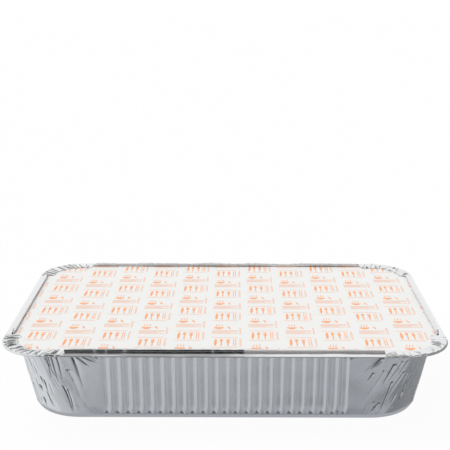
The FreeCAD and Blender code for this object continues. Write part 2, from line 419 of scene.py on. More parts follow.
@dataclass
class FoilPan:
    """The base, the bevel, the grooved walls and the flange."""

    sizes: FoilSizes
    groove_pitch: float = 7.7 * MM
    groove_margin: float = 18 * MM
    groove_mouth: float = 6.8 * MM
    groove_floor: float = 2.6 * MM
    groove_depth: float = 0.9 * MM
    groove_foot: float = 3.0 * MM
    ramp_half: float = 2.4 * MM
    groove_head: float = 4 * MM
    wall_spaces: int = 22
    gather_depth: float = 0.32 * MM
    gather_spacing: float = 6 * MM
    gather_reach: float = 46 * MM
    gather_fade: float = 16 * MM
    dent_depth: float = 0.2 * MM
    creases: dict[int, tuple[Crease, ...]] = field(default_factory=lambda: {
        2: (
            Crease((35.8, 52), (36.8, 34), 0.83 * MM, 0.7 * MM, 2.4 * MM, 0.35 * MM),
            Crease((36.0, 52), (37.9, 25), 0.60 * MM, 0.9 * MM, 3.0 * MM),
            Crease((36.4, 52), (45.5, 42), 0.83 * MM, 0.8 * MM, 2.6 * MM, 0.35 * MM),
            Crease((37.2, 52), (50.5, 45), 0.60 * MM, 0.8 * MM, 2.6 * MM),
            Crease((47.0, 52.5), (50.4, 48), 0.68 * MM, 0.7 * MM, 1.6 * MM, 0.35 * MM),
            Crease((22.9, 52), (17.9, 33), 0.60 * MM, 0.5 * MM, 1.8 * MM),
            Crease((24.2, 51), (20.5, 35), 0.45 * MM, 0.5 * MM, 1.2 * MM),
            Crease((25.8, 52), (21.8, 29), 0.68 * MM, 0.5 * MM, 2.0 * MM),
            Crease((28.2, 50), (25.6, 31), 0.60 * MM, 0.5 * MM, 1.8 * MM),
            Crease((22.8, 27), (20.6, 4), 0.83 * MM, 0.6 * MM, 1.8 * MM, 0.35 * MM),
            Crease((24.9, 24), (20.9, 4), 0.68 * MM, 0.6 * MM, 1.8 * MM),
            Crease((31.0, 40), (33.0, 14), 0.38 * MM, 1.4 * MM, 3.4 * MM, 0.15 * MM),
        ),
        3: (
            Crease((-34.3, 50), (-42.0, 37), 0.40 * MM, 1.2 * MM, 4.1 * MM, 0.2 * MM),
            Crease((-33.8, 50), (-38.4, 40), 0.55 * MM, 0.6 * MM, 2.2 * MM, 0.4 * MM),
            Crease((-36.0, 38), (-38.3, 31), 0.50 * MM, 0.6 * MM, 1.9 * MM, 0.35 * MM),
            Crease((-26.3, 45), (-26.8, 28), 0.55 * MM, 0.5 * MM, 2.2 * MM, 0.4 * MM),
            Crease((-15.9, 39), (-18.6, 24), 0.55 * MM, 0.5 * MM, 2.2 * MM, 0.35 * MM),
            Crease((-21.8, 31), (-18.2, 5), 0.50 * MM, 0.5 * MM, 1.9 * MM),
            Crease((-23.8, 11), (-25.3, 4), 0.55 * MM, 0.5 * MM, 1.4 * MM, 0.4 * MM),
            Crease((-9.9, 28), (-8.0, 13), 0.45 * MM, 0.5 * MM, 1.4 * MM),
            Crease((-47.5, 52), (-51.0, 48), 0.45 * MM, 0.7 * MM, 1.7 * MM, 0.4 * MM),
            Crease((-30.0, 40), (-35.0, 16), 0.25 * MM, 1.4 * MM, 4.1 * MM, 0.15 * MM),
        ),
        0: (
            Crease((-34, 51), (-39, 30), 0.8 * MM),
            Crease((22, 48), (24, 28), 0.8 * MM),
            Crease((38, 51), (44, 34), 0.8 * MM),
            Crease((-21, 32), (-23, 8), 0.7 * MM),
        ),
        1: (
            Crease((31, 51), (37, 33), 0.8 * MM),
            Crease((-24, 46), (-25, 24), 0.8 * MM),
            Crease((-39, 51), (-46, 36), 0.8 * MM),
            Crease((19, 30), (22, 7), 0.7 * MM),
        ),
    })
    handling: int = 36
    corner_steps: tuple[float, ...] = (0.45 * MM, 0.45 * MM, 0.25 * MM, 0.25 * MM)
    corner_spaces: int = 48
    panel_spaces: int = 12
    panel: float = 27 * MM
    arc_half: float = math.pi / 4 * 30 * MM
    base_margin: float = 1.1 * MM
    base_inset: float = 14 * MM
    smooth_angle: float = 38

    def groove_middles(self, side: int) -> list[float]:
        """Places of the grooves along a side, from its middle."""
        half = (self.sizes.length if side % 2 == 0 else self.sizes.width) / 2
        room = half - self.foot_inset - self.sizes.foot_radius - self.groove_margin
        count = math.floor(2 * room / self.groove_pitch + 1e-6) + 1
        return [(i - (count - 1) / 2) * self.groove_pitch for i in range(count)]

    def groove_stations(self, side: int) -> list[float]:
        """Columns along a side: each groove's edges and the middle of each flank."""
        edge, floor = self.groove_mouth / 2, self.groove_floor / 2
        steps = [floor / 2, *(floor + (edge - floor) * i / 4 for i in range(5))]
        steps = [-step for step in reversed(steps)] + [0.0] + steps
        return [middle + step for middle in self.groove_middles(side) for step in steps]

    def last_grooves(self) -> np.ndarray:
        """Where each side's last groove ends, from the side's middle."""
        return np.array([max(self.groove_stations(side)) for side in range(4)])

    def stations(self) -> np.ndarray:
        """Columns once round the pan.

        Returns:
            An array with a row for each column: the side or corner, the share of the corner's
            turn or NaN, the place between arc and grooves or NaN, the place along the side or
            NaN, the corner whose creases it has, and s, its place on that unrolled corner.
        """
        rows = []
        for corner in range(4):
            for share in np.linspace(0, 1, self.corner_spaces + 1):
                rows.append((corner, share, np.nan, np.nan, corner, (2 * share - 1) * self.arc_half))
            places = np.arange(1, self.panel_spaces + 1) / (self.panel_spaces + 1)
            for place in places:
                rows.append((corner, np.nan, place, -1.0, corner, self.arc_half + place * self.panel))
            last = max(self.groove_stations(corner))
            for along in self.groove_stations(corner):
                s = math.copysign(self.arc_half + self.panel + last - abs(along), -along)
                near = corner if along < 0 else (corner + 1) % 4
                rows.append((corner, np.nan, np.nan, along, near, s))
            for place in places[::-1]:
                s = -self.arc_half - place * self.panel
                rows.append((corner, np.nan, place, 1.0, (corner + 1) % 4, s))
        return np.array(rows)

    def corner_stations(self, corner: int, step: float) -> np.ndarray:
        """Columns of a corner's own blank, from the last groove before it to the first after it.

        Args:
            corner: The corner's number.
            step: The greatest distance between columns round the arc.

        Returns:
            Rows as those of stations.
        """
        before = (corner - 1) % 4
        places = np.linspace(0, 1, round(self.panel / (1.6 * step)) + 1)[1:]
        rows = [(before, np.nan, place, 1.0, corner, -self.arc_half - place * self.panel)
                for place in places[::-1]]
        for share in np.linspace(0, 1, round(2 * self.arc_half / step) + 1):
            rows.append((corner, share, np.nan, np.nan, corner, (2 * share - 1) * self.arc_half))
        rows += [(corner, np.nan, place, -1.0, corner, self.arc_half + place * self.panel)
                 for place in places]
        return np.array(rows)

    @property
    def foot_inset(self) -> float:
        """Inset of the wall's foot."""
        return self.sizes.flange_width + self.sizes.wall_taper

    @property
    def wall_head(self) -> float:
        """Height of the wall's head, under the flange's fold."""
        return self.sizes.flange - 0.9 * MM

    def ring(self, inset: float, z: float) -> tuple[float, float, float]:
        """Inset, height and corner radius of a row."""
        sizes = self.sizes
        share = float(sizes.wall_share(z))
        top_radius = sizes.corner_radius - sizes.flange_width
        radius = sizes.foot_radius + share * (top_radius - sizes.foot_radius)
        return inset, z, radius - (inset - (self.foot_inset - sizes.wall_taper * share))

    def wall_ring(self, z: float) -> tuple[float, float, float]:
        """Inset, height and corner radius of a row on the wall."""
        return self.ring(self.foot_inset - self.sizes.wall_taper * float(self.sizes.wall_share(z)), z)

    def levels(self) -> np.ndarray:
        """Inset, height and corner radius of every row, from the base to the outer fold."""
        sizes = self.sizes
        foot = self.foot_inset
        base = foot + sizes.bevel_width
        ground = sizes.foil / 2
        rows = [self.ring(base + 1.2 * MM, ground), self.ring(base + 0.2 * MM, ground),
                self.ring(base - 0.5 * MM, 0.35 * MM), self.ring(base - 1.4 * MM, 1.5 * MM),
                self.ring(foot + 0.7 * MM, 3.0 * MM), self.ring(foot + 0.1 * MM, 3.8 * MM)]
        ledge = np.linspace(sizes.wall_foot, sizes.wall_foot + self.groove_foot, 9)
        wall = np.linspace(ledge[-1], self.wall_head, self.wall_spaces)[1:]
        rows += [self.wall_ring(z) for z in (*ledge, *wall)]
        rows += [self.ring(sizes.flange_width - 0.15 * MM, sizes.flange - 0.25 * MM),
                 self.ring(sizes.flange_width - 0.8 * MM, sizes.flange),
                 self.ring(sizes.flange_width / 2, sizes.flange),
                 self.ring(sizes.fold_centre, sizes.flange)]
        return np.array(rows)

    def corner_window(self, column: np.ndarray, row: np.ndarray) -> np.ndarray:
        """Which columns and rows lie on the corners' walls, that have blanks of their own.

        Args:
            column: Column numbers of the pan's blank.
            row: Row numbers of the pan's blank.

        Returns:
            True for each place that the pan's blank leaves out.
        """
        stations, levels = self.stations(), self.levels()
        side, share, place, along = stations[column % len(stations)].T[:4]
        last = self.last_grooves()[side.astype(int)]
        aside = ~np.isnan(share) | ~np.isnan(place) | (np.abs(np.nan_to_num(along)) > last - 1e-7)
        z = levels[row].T[1]
        return aside & (z > self.sizes.wall_foot - 1e-7) & (z < self.wall_head + 1e-7)

    def groove_relief(self, side: np.ndarray, along: np.ndarray, z: np.ndarray) -> np.ndarray:
        """Depth of the grooves at places on the straight walls.

        Each groove narrows over its foot, a small three-sided ramp.

        Args:
            side: Numbers of the sides.
            along: Places along the sides from their middles.
            z: Heights.

        Returns:
            The depth at each place.
        """
        off = np.zeros_like(along)
        for number in range(4):
            middles = np.array(self.groove_middles(number))
            nearest = np.abs(along[..., None] - middles).min(-1)
            off = np.where(side == number, nearest, off)
        flank = (self.groove_mouth - self.groove_floor) / 2
        above = (z - self.sizes.wall_foot) / self.groove_foot
        narrow = np.clip(1.8 - above, 0, 0.8) / 0.8 * (self.groove_mouth / 2 - self.ramp_half)
        profile = np.clip((self.groove_mouth / 2 - narrow - off) / flank, 0, 1)
        foot = np.clip(above, 0, 1)
        head = np.clip((self.sizes.flange - z) / self.groove_head, 0, 1)
        return self.groove_depth * np.minimum(profile, np.minimum(foot, head))

    def crumple_relief(self, corner: np.ndarray, s: np.ndarray,
                       z: np.ndarray) -> tuple[np.ndarray, np.ndarray]:
        """Depth of the gathers, creases and dents of the foil.

        Args:
            corner: Numbers of the nearest corners.
            s: Places round those corners from their middles.
            z: Heights.

        Returns:
            The depth at each place, and the painted shade of the creases there.
        """
        seed = 7.3 * corner
        lean = s + 0.15 * (z - self.sizes.flange) * np.sign(s)
        tall = np.stack([lean / self.gather_spacing, z / (30 * MM), seed], -1)
        fine = np.stack([lean / (2.3 * MM), z / (14 * MM), seed + 31], -1)
        slack = np.stack([s / (19 * MM), z / (17 * MM), seed + 57], -1)
        near = np.clip((self.gather_reach - np.abs(s)) / self.gather_fade, 0, 1)
        high = 0.35 + 0.65 * np.clip(z / self.sizes.flange, 0, 1)
        relief = near * high * (self.gather_depth * folded_noise(tall)
                                + 0.12 * self.gather_depth * folded_noise(fine))
        relief += self.dent_depth * rough_noise(slack)
        # Painted shade: the darkest crease line at each place, which later darkens the foil's colour.
        shade = np.zeros_like(relief)
        for number, creases in self.creases.items():
            for crease in (*creases, *handling_creases(number, self.handling)):
                relief += np.where(corner == number, crease.relief(s, z), 0.0)
                shade = np.maximum(shade, np.where(corner == number, crease.shade(s, z), 0.0))
        top = np.clip((self.wall_head - z) / (2 * MM), 0, 1)
        foot = np.clip((z - self.sizes.wall_foot) / (5 * MM), 0, 1)
        return relief * top * foot, shade * foot

    def form(self, stations: np.ndarray, levels: np.ndarray, column: np.ndarray,
             row: np.ndarray) -> np.ndarray:
        """The points of a sheet of the pan, and the painted shade of their folds.

        Args:
            stations: The sheet's columns, as stations or corner_stations gives them.
            levels: The sheet's rows.
            column: Column numbers of the points.
            row: Row numbers of the points.

        Returns:
            A row of x, y, z and painted fold shade for each point.
        """
        outline = Outline(self.sizes)
        side, share, place, along, near, s = stations[column].T
        inset, z, radius = levels[row].T
        straight = outline.straight_half(side, inset, radius)
        last_groove = self.last_grooves()[side.astype(int)]
        between = along * (straight - place * (straight - last_groove))
        along = np.where(np.isnan(place), np.nan_to_num(along), between)
        in_arc = ~np.isnan(share)
        arc_point, arc_normal = outline.on_corner(side, np.nan_to_num(share), inset, radius)
        side_point, side_normal = outline.on_side(side, along, inset)
        point = np.where(in_arc[:, None], arc_point, side_point)
        normal = np.where(in_arc[:, None], arc_normal, side_normal)
        grooves = np.where(np.isnan(place) & ~in_arc, self.groove_relief(side, along, z), 0.0)
        crumple, shade = self.crumple_relief(near, s, z)
        point = point - normal * (grooves + crumple)[:, None]
        return np.column_stack([point, z, shade])

    def build_corner(self, corner: int, step: float) -> bpy.types.Object:
        """Draws a corner's wall from a blank fine enough for its creases.

        Args:
            corner: The corner's number.
            step: The distance between columns.

        Returns:
            The corner's wall, with its thickness.
        """
        stations = self.corner_stations(corner, step)
        rows = round((self.wall_head - self.sizes.wall_foot) / (2 * step))
        levels = np.array([self.wall_ring(z)
                           for z in np.linspace(self.sizes.wall_foot, self.wall_head, rows + 1)])
        piece = drawn_sheet(f"pan_corner_{corner}", len(stations) - 1, rows,
                            lambda column, row: self.form(stations, levels, column, row))
        self.finish_sheet(piece)
        return piece

    def finish_sheet(self, piece: bpy.types.Object) -> None:
        """Turns a sheet's faces outwards and gives it the foil's thickness."""
        apply_modifier(piece, "SOLIDIFY", thickness=self.sizes.foil, offset=0.0)
        with editing(piece):
            bpy.ops.mesh.normals_make_consistent(inside=False)
        shade_smooth(piece, self.smooth_angle)

    def build(self) -> list[bpy.types.Object]:
        """Draws the pan and the walls of its corners."""
        return [self.build_pan()] + [self.build_corner(i, step)
                                     for i, step in enumerate(self.corner_steps)]

    def build_pan(self) -> bpy.types.Object:
        """Draws the pan from one blank, closes its seam and base, and gives it its thickness."""
        stations, levels = self.stations(), self.levels()
        pan = drawn_sheet("foil_pan", len(stations), len(levels) - 1,
                          lambda column, row: self.form(stations, levels, column % len(stations), row),
                          self.corner_window)
        with editing(pan):
            bpy.ops.mesh.remove_doubles(threshold=0.001 * MM)
            bpy.ops.mesh.select_all(action="DESELECT")
        edge = levels[0][1] + 0.01 * MM
        inner = self.foot_inset + self.sizes.bevel_width
        half_x = self.sizes.length / 2 - inner - self.base_margin
        half_y = self.sizes.width / 2 - inner - self.base_margin
        for vertex in pan.data.vertices:
            low = vertex.co.z < edge
            vertex.select = bool(low and abs(vertex.co.x) < half_x and abs(vertex.co.y) < half_y)
        with editing_selection(pan):
            bpy.ops.mesh.edge_face_add()
            bpy.ops.mesh.inset(thickness=self.base_inset)
        self.finish_sheet(pan)
        return pan


@dataclass
class FoilRim:
    """The outer fold, the lip over the lid, its rolled beads and the crushed corners."""

    sizes: FoilSizes
    fold_spaces: int = 6
    lip_spaces: int = 20
    bead_inset: float = 5.0 * MM
    bead_sink: float = 0.4 * MM
    crowns: tuple[float, ...] = (0.4 * MM, 0.5 * MM, 1.4 * MM, 0.5 * MM)
    bead_spaces: int = 24
    bead_turn: float = math.radians(470)
    bead_sway: tuple[float, ...] = (1.1 * MM, 0.5 * MM, 0.15 * MM, 0.5 * MM)
    bead_swell: tuple[float, ...] = (0.25, 0.05, 0.05, 0.05)
    bead_dent: float = 0.09
    scroll_start: float = math.radians(240)
    scroll_loss: float = 0.42
    pinched: tuple[float, ...] = (0.3, 0.5, 0.0, 0.5)
    pinch_length: float = 5 * MM
    fine_step: float = 0.4 * MM
    coarse_step: float = 2 * MM
    corner_lip: float = 11.5 * MM
    ragged: float = 2.2 * MM
    pleat_spacing: float = 5.6 * MM
    pleat_slant: float = 0.8
    pleat_height: float = 1.8 * MM
    # Width of the painted shade in each pleat's fold.
    pleat_shade_width: float = 0.4 * MM
    crumple_height: float = 0.12 * MM
    strip_waves: float = 0.12 * MM
    crush_run: float = 2 * MM
    nick_depth: float = 0.4 * MM
    smooth_angle: float = 42

    @property
    def arc_half(self) -> float:
        """Half the length of the rim's arc round a corner."""
        return math.pi / 4 * self.sizes.corner_radius

    def zone(self, corner: int) -> tuple[float, float]:
        """Where a corner's crushed stretch starts and ends, from the corner's middle."""
        before, after = self.sizes.bead_gaps[(corner - 1) % 4][1], self.sizes.bead_gaps[corner][0]
        return -self.arc_half - before, self.arc_half + after

    def bead_span(self, side: int) -> tuple[float, float]:
        """Where a side's bead starts and ends, from the side's middle."""
        half = (self.sizes.length if side % 2 == 0 else self.sizes.width) / 2
        half -= self.sizes.corner_radius
        return -half + self.sizes.bead_gaps[side][0], half - self.sizes.bead_gaps[side][1]

    def stations(self) -> np.ndarray:
        """Columns once round the rim.

        Returns:
            An array with a row for each column: the corner or side, 1 in a corner's stretch or
            0 on a side's bead, the distance from the middle of that corner or side, and the
            distance to the nearer end of the stretch.
        """
        rows = []
        for corner in range(4):
            start, end = self.zone(corner)
            spaces = round((end - start) / self.fine_step)
            for s in np.linspace(start, end, spaces + 1):
                rows.append((corner, 1, s, min(s - start, end - s)))
            start, end = self.bead_span(corner)
            spaces = round((end - start) / self.coarse_step)
            for along in np.linspace(start, end, spaces + 1)[1:-1]:
                rows.append((corner, 0, along, 0.0))
        return np.array(rows)

    def plan(self, corner: np.ndarray, zone: np.ndarray, s: np.ndarray,
             inset: np.ndarray) -> np.ndarray:
        """Points in plan, for places in the stretches of corners or sides.

        Args:
            corner: Numbers of the corners or sides.
            zone: 1 in a corner's stretch, 0 on a side's bead.
            s: Distances from the middle of that corner or side.
            inset: Distances in from the rim.

        Returns:
            A row of x and y for each place.
        """
        outline = Outline(self.sizes)
        radius = self.sizes.corner_radius - inset
        share = np.clip(s / (2 * self.arc_half) + 0.5, 0, 1)
        arc_point, _ = outline.on_corner(corner, share, inset, radius)
        beyond = np.maximum(0.0, np.abs(s) - self.arc_half)
        side = np.where(s > 0, corner, np.mod(corner - 1, 4))
        half = outline.straight_half(side, 0.0, self.sizes.corner_radius)
        along = np.where(zone == 1, np.sign(-s) * (half - beyond), s)
        side = np.where(zone == 1, side, corner)
        side_point, _ = outline.on_side(side, along, inset)
        in_arc = (zone == 1) & (np.abs(s) <= self.arc_half)
        return np.where(in_arc[:, None], arc_point, side_point)

    def pleats(self, corner: np.ndarray, s: np.ndarray,
               reach: np.ndarray) -> tuple[np.ndarray, np.ndarray]:
        """The pleats on a corner's lip.

        Args:
            corner: Numbers of the corners.
            s: Distances from the corners' middles.
            reach: Shares of the way from the fold to the lip's edge.

        Returns:
            The pleats' height and the painted shade in their folds, as shares of the most.
        """
        seed = 11.7 * corner
        shift = rough_noise(np.stack([s / (11 * MM), 0.7 * reach, seed], -1))
        lean = self.pleat_slant * reach * np.clip(s / (10 * MM), -1, 1)
        phase = s / self.pleat_spacing + 0.7 * shift - lean
        saw = phase - np.floor(phase)
        tooth = np.minimum(saw / 0.8, (1 - saw) / 0.2)
        tall = 0.35 + 0.65 * folded_noise(np.stack([np.floor(phase) * 1.37, seed + 3, 0 * s], -1))
        # Painted shade, darkest in each pleat's fold.
        pleat_shade = np.exp(-(np.minimum(saw, 1 - saw) * self.pleat_spacing / self.pleat_shade_width) ** 2)
        return tooth * tall, pleat_shade * (0.3 + 0.7 * tall)

    def lip_height(self, corner: np.ndarray, s: np.ndarray, reach: np.ndarray,
                   crush: np.ndarray) -> tuple[np.ndarray, np.ndarray]:
        """Height of the foil over its flat lip.

        Args:
            corner: Numbers of the corners or sides.
            s: Distances from their middles.
            reach: Shares of the way from the fold to the lip's edge.
            crush: How far the lip is crushed, from 0 on a bead's strip to 1.

        Returns:
            The height at each place, and the painted shade of its folds.
        """
        seed = 5.1 * corner
        big = folded_noise(np.stack([s / (7 * MM), reach * 1.4, seed + 17], -1))
        small = folded_noise(np.stack([s / (2.6 * MM), reach * 2.6, seed + 43], -1))
        tooth, pleat_shade = self.pleats(corner, s, reach)
        pleat = self.pleat_height * tooth * np.sin(math.pi * np.clip(reach, 0.08, 1)) ** 0.6
        crumple = self.crumple_height * (big + 0.15 * small) * np.clip(4 * reach, 0.25, 1)
        waves = folded_noise(np.stack([s / (24 * MM), reach * 0.6, seed + 71], -1))
        down = np.clip((1 - reach) / 0.1, 0, 1)
        height = crush * (pleat + crumple) * down + (1 - crush) * self.strip_waves * waves
        return height, crush * pleat_shade * np.clip(6 * reach, 0, 1)

    def form(self, column: np.ndarray, row: np.ndarray) -> np.ndarray:
        """The points of the fold and lip.

        Args:
            column: Column numbers of their blank.
            row: Row numbers of their blank.

        Returns:
            A row of x, y, z and painted fold shade for each point.
        """
        sizes = self.sizes
        stations = self.stations()
        corner, zone, s, inside = stations[column % len(stations)].T
        crush = np.clip(inside / self.crush_run, 0, 1)
        seed = 3.9 * corner
        lump = folded_noise(np.stack([s / (9 * MM), 0 * s, seed + 91], -1))
        fold = sizes.fold_radius * (1 + crush * (0.5 + 0.9 * lump))
        turn = -math.pi / 2 - math.pi * np.clip(row / self.fold_spaces, 0, 1)
        nick = crush * self.nick_depth * folded_noise(np.stack([s / (4.1 * MM), 0 * s, seed + 23], -1))
        fold_inset = sizes.foil / 2 + fold + nick + fold * np.cos(turn)
        fold_z = sizes.flange + fold * (1 + np.sin(turn))
        reach = np.clip((row - self.fold_spaces) / self.lip_spaces, 0, 1)
        ragged = self.ragged * rough_noise(np.stack([s / (4.6 * MM), 0 * s, seed + 61], -1))
        strip = self.bead_inset
        width = strip + crush * (self.corner_lip - strip + ragged)
        inset = np.where(reach > 0, sizes.fold_centre + reach * (width - sizes.fold_centre), fold_inset)
        rest = sizes.flange + 2 * fold * (1 - reach) + 2 * sizes.fold_radius * reach
        side = np.where((zone == 1) & (s < 0), np.mod(corner - 1, 4), corner).astype(int)
        crown = np.array(self.crowns)[side] * reach * (1 - crush)
        height, shade = self.lip_height(corner, s, reach, crush)
        z = np.where(reach > 0, rest + crown + height, fold_z)
        return np.column_stack([self.plan(corner, zone, s, inset), z, shade])

    def bead_form(self, side: int) -> Form:
        """The form of one side's bead: a scroll of foil on the lip's inner edge.

        Args:
            side: The number of the side.

        Returns:
            A function from column and row numbers to points.
        """
        sizes = self.sizes
        start, end = self.bead_span(side)
        spaces = self.bead_columns(side)

        def form(column: np.ndarray, row: np.ndarray) -> np.ndarray:
            """The points of the bead, with no painted fold shade."""
            along = start + (end - start) * column / spaces
            swell = rough_noise(np.stack([along / (21 * MM), 0 * along + side, 0 * along], -1))
            dent = folded_noise(np.stack([along / (8 * MM), 0 * along + side, 0 * along + 9], -1))
            dented = self.bead_dent * (1 - np.clip(5 * dent, 0, 1))
            size = sizes.bead_radius * (1 + self.bead_swell[side] * swell - dented)
            from_end = np.clip(np.minimum(along - start, end - along) / self.pinch_length, 0, 1)
            size *= 1 - self.pinched[side] * (1 - from_end) ** 2
            turned = self.bead_turn * row / self.bead_spaces
            rolled_in = (turned - self.scroll_start) / (self.bead_turn - self.scroll_start)
            scroll = size * (1 - self.scroll_loss * np.clip(rolled_in, 0, 1))
            angle = turned - math.pi / 2
            sway = self.bead_sway[side] * rough_noise(
                np.stack([along / (34 * MM), 0 * along + side, 0 * along + 5], -1))
            inset = self.bead_inset + scroll * np.cos(angle) + sway
            rise = self.crowns[side] - self.bead_sink * np.clip(turned, 0, 1) + 0.8 * sway
            z = sizes.lip + size + scroll * np.sin(angle) + rise
            number = np.full_like(along, side)
            flat = self.plan(number, 0 * number, along, inset)
            return np.column_stack([flat, z, 0 * z])

        return form

    def bead_columns(self, side: int) -> int:
        """Number of spaces along a side's bead."""
        start, end = self.bead_span(side)
        return round((end - start) / self.coarse_step)

    def build(self) -> bpy.types.Object:
        """Draws the fold and lip from one blank, rolls the four beads and joins them."""
        columns, rows = len(self.stations()), self.fold_spaces + self.lip_spaces
        parts = [drawn_sheet("foil_rim", columns, rows, self.form)]
        for side in range(4):
            parts.append(drawn_sheet(f"bead_{side}", self.bead_columns(side), self.bead_spaces,
                                     self.bead_form(side)))
        rim = joined("foil_rim", parts)
        with editing(rim):
            bpy.ops.mesh.remove_doubles(threshold=0.02 * MM)
            bpy.ops.mesh.normals_make_consistent(inside=False)
        apply_modifier(rim, "SOLIDIFY", thickness=self.sizes.foil, offset=0.0)
        shade_smooth(rim, self.smooth_angle)
        return rim


def srgb(code: str) -> tuple[float, float, float, float]:
    """The linear colour of an sRGB hex code."""
    values = [int(code[i:i + 2], 16) / 255 for i in (1, 3, 5)]
    linear = [v / 12.92 if v <= 0.04045 else ((v + 0.055) / 1.055) ** 2.4 for v in values]
    return (*linear, 1.0)


def add_node(tree: bpy.types.NodeTree, kind: str, settings: dict[str, object] | None = None,
             links: dict[str, bpy.types.NodeSocket] | None = None) -> bpy.types.Node:
    """Adds a node with its settings and links.

    Args:
        tree: The node tree to add to.
        kind: The node's type.
        settings: Values of its inputs, or of its properties where no input has the name.
        links: Sockets that feed its inputs.

    Returns:
        The new node.
    """
    node = tree.nodes.new(kind)
    for name, value in (settings or {}).items():
        if name in node.inputs:
            node.inputs[name].default_value = value
        else:
            setattr(node, name, value)
    for name, socket in (links or {}).items():
        tree.links.new(socket, node.inputs[name])
    return node


def bare_tree(owner: bpy.types.Material | bpy.types.World) -> bpy.types.NodeTree:
    """Turns on the nodes of a material or world, and empties them."""
    owner.use_nodes = True
    owner.node_tree.nodes.clear()
    return owner.node_tree


def mixed_colour(tree: bpy.types.NodeTree, factor: bpy.types.NodeSocket, first: str,
                 second: str) -> bpy.types.NodeSocket:
    """Mixes two colours.

    Args:
        tree: The node tree to add to.
        factor: How much of the second colour shows.
        first: The first colour's sRGB hex code.
        second: The second colour's.

    Returns:
        The mixed colour's socket.
    """
    mix = add_node(tree, "ShaderNodeMix", {"data_type": "RGBA"}, {"Factor": factor})
    colours = [socket for socket in mix.inputs if socket.type == "RGBA"]
    colours[0].default_value = srgb(first)
    colours[1].default_value = srgb(second)
    return [socket for socket in mix.outputs if socket.type == "RGBA"][0]


class Finish:
    """A finish that its nodes make."""

    name: str

    def nodes(self, tree: bpy.types.NodeTree) -> bpy.types.Node:
        """Adds the finish's nodes and returns its surface shader."""
        raise NotImplementedError

    def material(self) -> bpy.types.Material:
        """The finish as a material, made once."""
        known = bpy.data.materials.get(self.name)
        if known:
            return known
        material = bpy.data.materials.new(self.name)
        tree = bare_tree(material)
        shader = self.nodes(tree)
        add_node(tree, "ShaderNodeOutputMaterial", links={"Surface": shader.outputs[0]})
        return material

    def dress(self, piece: bpy.types.Object) -> None:
        """Gives a piece this finish alone."""
        piece.data.materials.clear()
        piece.data.materials.append(self.material())


@dataclass(frozen=True)
class RolledFoil(Finish):
    """Aluminium foil as rolled and pressed: a soft metal mirror with fine rolling lines.

    The rolling lines blur what it reflects along one way, and handling leaves shallow dents.
    Its colour is darkened by the fold attribute: painted shade in its folds and creases.
    """

    name: str
    colour: str
    roughness: float
    line_spacing: float = 0.5 * MM
    dent_spacing: float = 5 * MM
    line_depth: float = 0.006 * MM
    dent_depth: float = 0.12 * MM
    # Dark grey of the painted shade in folds and creases.
    painted_shade_colour: str = "#262627"

    def nodes(self, tree: bpy.types.NodeTree) -> bpy.types.Node:
        """Adds the foil's nodes.

        Args:
            tree: The material's empty node tree.

        Returns:
            The surface shader of the foil.
        """
        place = add_node(tree, "ShaderNodeTexCoord")
        stretch = add_node(tree, "ShaderNodeMapping", {"Scale": (1.0, 0.06, 0.06)},
                           {"Vector": place.outputs["Object"]})
        lines = add_node(tree, "ShaderNodeTexNoise", {"Scale": 1 / self.line_spacing, "Detail": 2.0},
                         {"Vector": stretch.outputs["Vector"]})
        dents = add_node(tree, "ShaderNodeTexNoise", {"Scale": 1 / self.dent_spacing, "Detail": 3.0},
                         {"Vector": place.outputs["Object"]})
        worn = add_node(tree, "ShaderNodeMapRange",
                        {"From Min": 0.3, "From Max": 0.7, "To Min": self.roughness - 0.02,
                         "To Max": self.roughness + 0.03}, {"Value": dents.outputs[0]})
        pressed = add_node(tree, "ShaderNodeBump", {"Strength": 1.0, "Distance": self.dent_depth},
                           {"Height": dents.outputs[0]})
        rolled = add_node(tree, "ShaderNodeBump", {"Strength": 1.0, "Distance": self.line_depth},
                          {"Height": lines.outputs[0], "Normal": pressed.outputs["Normal"]})
        # Darkens the foil's colour by the fold attribute: painted shade in its folds and creases.
        painted_shade = add_node(tree, "ShaderNodeAttribute", {"attribute_name": FOLD_SHADE})
        mixed = mixed_colour(tree, painted_shade.outputs["Fac"], self.colour, self.painted_shade_colour)
        return add_node(tree, "ShaderNodeBsdfPrincipled", {"Metallic": 1.0},
                        {"Base Color": mixed, "Roughness": worn.outputs[0],
                         "Normal": rolled.outputs["Normal"]})


@dataclass(frozen=True)
class CoatedBoard(Finish):
    """White clay-coated board: matt and even, with a faint mottle of its fibres."""

    name: str = "coated_board"
    light: str = "#F6F6F4"
    dark: str = "#F1F1EF"
    fibre_spacing: float = 1.2 * MM

    def nodes(self, tree: bpy.types.NodeTree) -> bpy.types.Node:
        """Adds the board's nodes.

        Args:
            tree: The material's empty node tree.

        Returns:
            The surface shader of the board.
        """
        place = add_node(tree, "ShaderNodeTexCoord")
        fibres = add_node(tree, "ShaderNodeTexNoise", {"Scale": 1 / self.fibre_spacing, "Detail": 4.0},
                          {"Vector": place.outputs["Object"]})
        mixed = mixed_colour(tree, fibres.outputs[0], self.dark, self.light)
        felt = add_node(tree, "ShaderNodeBump", {"Strength": 0.5, "Distance": 0.01 * MM},
                        {"Height": fibres.outputs[0]})
        return add_node(tree, "ShaderNodeBsdfPrincipled", {"Roughness": 0.55, "IOR": 1.5},
                        {"Base Color": mixed, "Normal": felt.outputs["Normal"]})


@dataclass(frozen=True)
class PressedInk(Finish):
    """Thin printing ink on board: a flat tint, slightly uneven where the board took less of it."""

    name: str
    full: str
    thin: str
    grain: float = 0.8 * MM

    def nodes(self, tree: bpy.types.NodeTree) -> bpy.types.Node:
        """Adds the ink's nodes.

        Args:
            tree: The material's empty node tree.

        Returns:
            The surface shader of the ink.
        """
        place = add_node(tree, "ShaderNodeTexCoord")
        uptake = add_node(tree, "ShaderNodeTexNoise", {"Scale": 1 / self.grain, "Detail": 2.0},
                          {"Vector": place.outputs["Object"]})
        mixed = mixed_colour(tree, uptake.outputs[0], self.full, self.thin)
        return add_node(tree, "ShaderNodeBsdfPrincipled", {"Roughness": 0.5, "IOR": 1.5},
                        {"Base Color": mixed})


